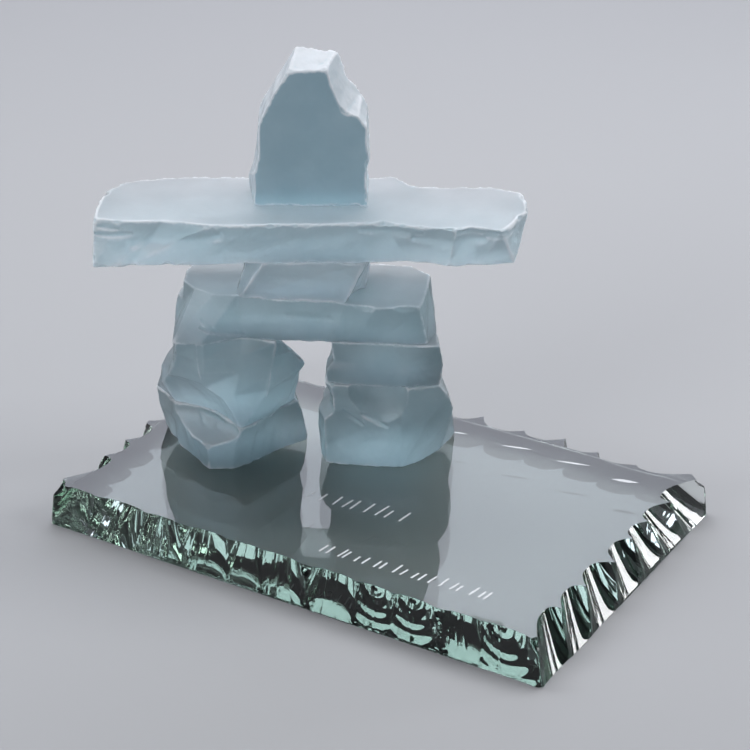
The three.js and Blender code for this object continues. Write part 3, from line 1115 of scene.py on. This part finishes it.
    def inset(self, along: Array, height: Array) -> Array:
        """How far in the rim lies at each place on a grid of distance round the plate and height.

        The side leans in above the land. Each flake takes its shell out of it, with rings that run round the
        point of the blow and a fan of ridges on its near half. Each corner has a shell of its own. The top edge
        is blunt everywhere, and the glass is crushed where two flakes meet.

        Args:
            along: distance round the plate, one for each column.
            height: height above the underside, one for each row.

        Returns:
            A grid of distances inward from the foot.
        """
        run, rise = np.meshgrid(along, height)
        lean = self.lean * np.clip((rise - self.land) / (self.thickness - self.land), 0.0, 1.0)
        depth = lean.copy()
        crush = np.ones_like(depth)
        flakes = self.flakes()
        for middle, half, reach, dip, tip, seed in zip(
            flakes.middle, flakes.half, flakes.reach, flakes.dip, flakes.tip, flakes.seed, strict=True
        ):
            slant = self.slant * self.scatter(seed + 11.0)
            away = (run - middle - slant * (1.0 - rise / self.thickness) + self.girth / 2.0) % self.girth
            away -= self.girth / 2.0
            share = away / half
            bite = np.maximum(self.shell(rise, reach, dip, tip) - lean, 0.0)
            near = 1.0 - smoothstep(-0.1, 0.1, share)
            fan = np.arctan2(away, self.blow + self.thickness - rise)
            lines = self.line_depth * near * smoothstep(0.7, 1.0, np.cos(self.ridges * fan + seed))
            ringed = self.ring_depth * smoothstep(0.3, 0.6, self.scatter(seed + 3.0))
            ring = 2.0 * math.pi * np.hypot(away, self.thickness - rise) / self.ring_pitch
            rings = ringed * (1.0 + np.cos(ring))
            shell = lean + bite * (1.0 - np.abs(share) ** 3) + (lines + rings) * (bite > 0.0)
            deeper = (np.abs(share) < 1.0) & (shell > depth)
            crush = np.where(deeper, np.abs(share), crush)
            depth = np.where(deeper, shell, depth)
        for place in np.cumsum([self.width, self.depth, self.width, self.depth]):
            away = np.abs((run - place + self.girth / 2.0) % self.girth - self.girth / 2.0)
            depth = np.maximum(depth, self.off_corner(away, rise))
        depth = np.maximum(depth, lean + self.blunt * smoothstep(0.55, 1.0, rise / self.thickness))
        rough = smoothstep(0.80, 1.0, crush)
        cells = np.stack([run.ravel(), rise.ravel(), 0.7 * depth.ravel()], axis=1)
        crumbs = [
            height * np.abs(Swell(length, seed).at(cells).reshape(depth.shape))
            for seed, (length, height) in enumerate(self.crushed, 5)
        ]
        return depth + rough * sum(crumbs)

    def ring_points(self, along: Array, inset: Array, height: Array) -> Array:
        """Place grid points on the rim.

        On each side, a point stands at the half width less its inset, and its distance along the side shrinks
        in the same measure as the side does, so that the corners meet. Where the sum of a point's distances
        from the middle passes that of the cut corner, both give up half of the excess.

        Args:
            along: distance round the plate, one for each column.
            inset: grid of distances inward from the foot.
            height: heights, one for each row.

        Returns:
            Points, row after row.
        """
        lengths = np.array([self.width, self.depth, self.width, self.depth])
        starts = np.concatenate([[0.0], np.cumsum(lengths)[:3]])
        side = np.searchsorted(starts, along, side="right") - 1
        half = lengths[side] / 2.0
        reach = lengths[(side + 1) % 4] / 2.0
        local = (along - starts[side] - half) * (1.0 - inset / half)
        outward = reach - inset
        turn = side * math.pi / 2.0
        x = np.cos(turn) * local + np.sin(turn) * outward
        y = np.sin(turn) * local - np.cos(turn) * outward
        z = np.broadcast_to(height[:, None], inset.shape)
        lean = self.lean * np.clip((z - self.land) / (self.thickness - self.land), 0.0, 1.0)
        limit = (self.width + self.depth) / 2.0 - 2.0 * lean - self.corner
        excess = np.maximum(np.abs(x) + np.abs(y) - limit, 0.0) / 2.0
        x = x - np.sign(x) * excess
        y = y - np.sign(y) * excess
        return np.stack([x, y, z], axis=2).reshape(-1, 3)

    def surface_marks(self, name: str, marks: list[tuple[Array, Array]]) -> bpy.types.Object:
        """Join marks in the top face, each given as points and faces, to one piece."""
        points: list[list[float]] = []
        faces: list[list[int]] = []
        for corners, quads in marks:
            faces.extend((quads + len(points)).tolist())
            points.extend(corners.tolist())
        mesh = bpy.data.meshes.new(name)
        mesh.from_pydata(points, [], faces)
        return new_piece(name, mesh, self.engraving.make())

    def engrave(self) -> bpy.types.Object:
        """Make the engraved strokes, all rows in one piece."""
        return self.surface_marks("engraved_strokes", [row.boxes(self.thickness) for row in self.strokes])

    def nick(self) -> bpy.types.Object:
        """Make the nicks beside the back edge, all in one piece, in matt white as a painted highlight."""
        return self.surface_marks("nick_highlights", [nick.lens(self.thickness) for nick in self.nicks])

    def build(self) -> bpy.types.Object:
        """Make the plate: rings of points up the rim, closed below and above by flat faces."""
        count = round(self.girth / self.step)
        along = np.arange(count) * self.girth / count
        share = np.linspace(0.0, 1.0, self.levels)
        height = self.thickness * (0.5 - 0.5 * np.cos(math.pi * share))
        inset = self.inset(along, height)
        points = self.ring_points(along, inset, height)
        column = np.arange(count)
        after = (column + 1) % count
        row = (np.arange(self.levels - 1) * count)[:, None]
        quads = np.stack([row + column, row + after, row + count + after, row + count + column], axis=2)
        top = (self.levels - 1) * count
        faces = quads.reshape(-1, 4).tolist()
        faces.append((column[::-1]).tolist())
        faces.append((top + column).tolist())
        mesh = bpy.data.meshes.new(self.node)
        mesh.from_pydata(points.tolist(), [], faces)
        smooth = np.ones(len(faces), dtype=bool)
        smooth[-2:] = False
        mesh.polygons.foreach_set("use_smooth", smooth)
        mesh.update()
        piece = new_piece(f"{self.node}_glass", mesh, self.glass.make())
        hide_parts(self.node)
        return piece


def main() -> None:
    """Build the part from the plate up, then the studio round it."""
    logging.basicConfig(level=logging.INFO, format="%(message)s")
    plate = Plate()
    for piece in (plate.build(), plate.engrave(), plate.nick()):
        log.info("%s: %d faces", piece.name, len(piece.data.polygons))
    Figure().build()
    Studio().build()


if __name__ == "__main__":
    main()
